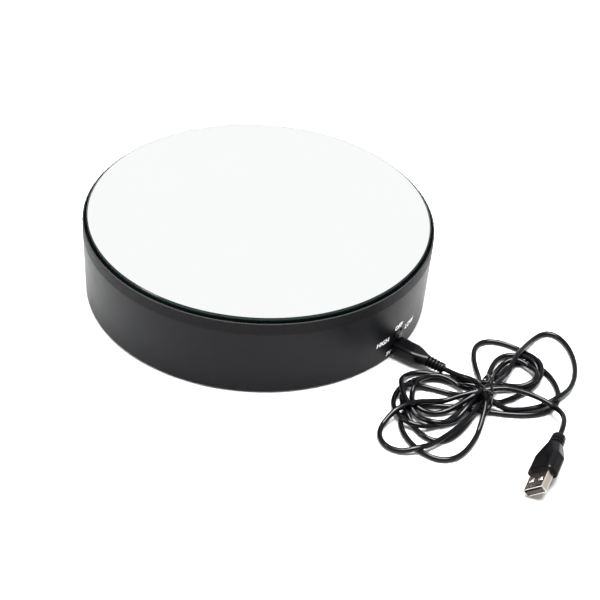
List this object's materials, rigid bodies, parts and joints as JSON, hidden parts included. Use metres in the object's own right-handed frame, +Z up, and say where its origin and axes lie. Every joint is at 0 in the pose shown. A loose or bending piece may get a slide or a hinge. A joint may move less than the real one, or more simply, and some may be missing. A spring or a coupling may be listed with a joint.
{
  "type": "turntable display stand",
  "caption": "Round motorised display stand: a mirror platter turns on a low black drum with a slide switch and a plugged-in USB lead in a tied hank.",
  "frame": {"origin": "on the surface that the feet rest on, under the spindle", "axes": "+Z up along the spindle; -Y out through the switch and the socket"},
  "size_m": [0.2, 0.3247, 0.05],
  "materials": {
    "drum_plastic": "satin moulded, near black",
    "mirror_glass": "silvered float glass with a green edge",
    "platter_plastic": "matt moulded black",
    "adhesive_tape": "thin foam tape",
    "screw_steel": "zinc plated",
    "ground_steel": "ground",
    "bronze": "oiled sintered bronze",
    "nylon": "natural nylon",
    "acetal": "white acetal",
    "gearbox_plastic": "moulded grey-black",
    "motor_steel": "nickel plated can",
    "motor_plastic": "moulded white",
    "ferrite": "sintered",
    "lamination": "stamped stack",
    "foot_rubber": "matt",
    "roller_plastic": "moulded grey",
    "wire_sleeve": "soft PVC",
    "board_laminate": "green solder mask",
    "component_plastic": "moulded epoxy",
    "switch_plastic": "moulded black",
    "socket_metal": "tin plated",
    "contact_plastic": "moulded black",
    "plug_plastic": "satin soft PVC",
    "plug_metal": "nickel plated",
    "cord_jacket": "glossy soft PVC",
    "tie_plastic": "plastic covered wire",
    "label_ink": "white pad-printed ink"
  },
  "bodies": {
    "stand": {"casing": "drum_plastic", "base_cover": "drum_plastic", "cover_screws": "screw_steel", "rubber_feet": "foot_rubber", "upper_bush": "bronze", "lower_bush": "bronze", "thrust_washer": "nylon", "gear_pins": "ground_steel", "gearbox_case": "gearbox_plastic", "gearbox_plate": "gearbox_plastic", "gearbox_screws": "screw_steel", "motor_can": "motor_steel", "motor_end_cap": "motor_plastic", "motor_magnets": "ferrite", "motor_screws": "screw_steel", "motor_wires": "wire_sleeve", "roller_pins": "ground_steel", "circuit_board": "board_laminate", "board_screws": "screw_steel", "board_components": "component_plastic", "switch_body": "switch_plastic", "usb_socket": "socket_metal", "socket_tongue": "contact_plastic"},
    "platter": {"platter": "platter_plastic", "mirror_disc": "mirror_glass", "mirror_tape": "adhesive_tape", "hub_screw": "screw_steel", "hub_washer": "screw_steel", "spindle": "ground_steel", "output_gear": "acetal"},
    "third_gear": {"third_gear": "acetal"},
    "second_gear": {"second_gear": "acetal"},
    "first_gear": {"first_gear": "acetal"},
    "rotor": {"motor_shaft": "ground_steel", "motor_armature": "lamination", "motor_pinion": "bronze"},
    "roller_1": {"roller_1": "roller_plastic"},
    "roller_2": {"roller_2": "roller_plastic"},
    "roller_3": {"roller_3": "roller_plastic"},
    "roller_4": {"roller_4": "roller_plastic"},
    "switch_knob": {"switch_knob": "switch_plastic"},
    "usb_lead": {"micro_plug_body": "plug_plastic", "micro_plug_shell": "plug_metal", "lead_in_cord": "cord_jacket", "cord_hank": "cord_jacket", "hank_tie": "tie_plastic", "lead_out_cord": "cord_jacket", "usb_a_body": "plug_plastic", "usb_a_shell": "plug_metal", "usb_a_tongue": "contact_plastic"}
  },
  "joints": [
    {"name": "platter_spin", "type": "hinge", "parent": "stand", "child": "platter", "pos_m": [0, 0, 0.04], "axis": [0, 0, 1], "continuous": true},
    {"name": "third_gear_spin", "type": "hinge", "parent": "stand", "child": "third_gear", "pos_m": [0.021, 0, 0.026], "axis": [0, 0, 1], "continuous": true},
    {"name": "second_gear_spin", "type": "hinge", "parent": "stand", "child": "second_gear", "pos_m": [0.01712, 0.01449, 0.0225], "axis": [0, 0, 1], "continuous": true},
    {"name": "first_gear_spin", "type": "hinge", "parent": "stand", "child": "first_gear", "pos_m": [0.01199, 0.02858, 0.0192], "axis": [0, 0, 1], "continuous": true},
    {"name": "rotor_spin", "type": "hinge", "parent": "stand", "child": "rotor", "pos_m": [-0.00211, 0.03371, 0.012], "axis": [0, 0, 1], "continuous": true},
    {"name": "roller_1_spin", "type": "hinge", "parent": "stand", "child": "roller_1", "pos_m": [0.05798, 0.05798, 0.0372], "axis": [0.7071, 0.7071, 0], "continuous": true},
    {"name": "roller_2_spin", "type": "hinge", "parent": "stand", "child": "roller_2", "pos_m": [-0.05798, 0.05798, 0.0372], "axis": [-0.7071, 0.7071, 0], "continuous": true},
    {"name": "roller_3_spin", "type": "hinge", "parent": "stand", "child": "roller_3", "pos_m": [-0.05798, -0.05798, 0.0372], "axis": [-0.7071, -0.7071, 0], "continuous": true},
    {"name": "roller_4_spin", "type": "hinge", "parent": "stand", "child": "roller_4", "pos_m": [0.05798, -0.05798, 0.0372], "axis": [0.7071, -0.7071, 0], "continuous": true},
    {"name": "switch_slide", "type": "slide", "parent": "stand", "child": "switch_knob", "axis": [1, 0, 0], "range_m": [-0.002, 0.002]},
    {"name": "plug_pull", "type": "slide", "parent": "stand", "child": "usb_lead", "axis": [0, -1, 0], "range_m": [0, 0.008]}
  ],
  "couplings": [
    {"joint": "third_gear_spin", "follows": "platter_spin", "ratio": -6},
    {"joint": "second_gear_spin", "follows": "platter_spin", "ratio": 24},
    {"joint": "first_gear_spin", "follows": "platter_spin", "ratio": -96},
    {"joint": "rotor_spin", "follows": "platter_spin", "ratio": 384},
    {"joint": "roller_1_spin", "follows": "platter_spin", "ratio": -16.4},
    {"joint": "roller_2_spin", "follows": "platter_spin", "ratio": -16.4},
    {"joint": "roller_3_spin", "follows": "platter_spin", "ratio": -16.4},
    {"joint": "roller_4_spin", "follows": "platter_spin", "ratio": -16.4}
  ]
}
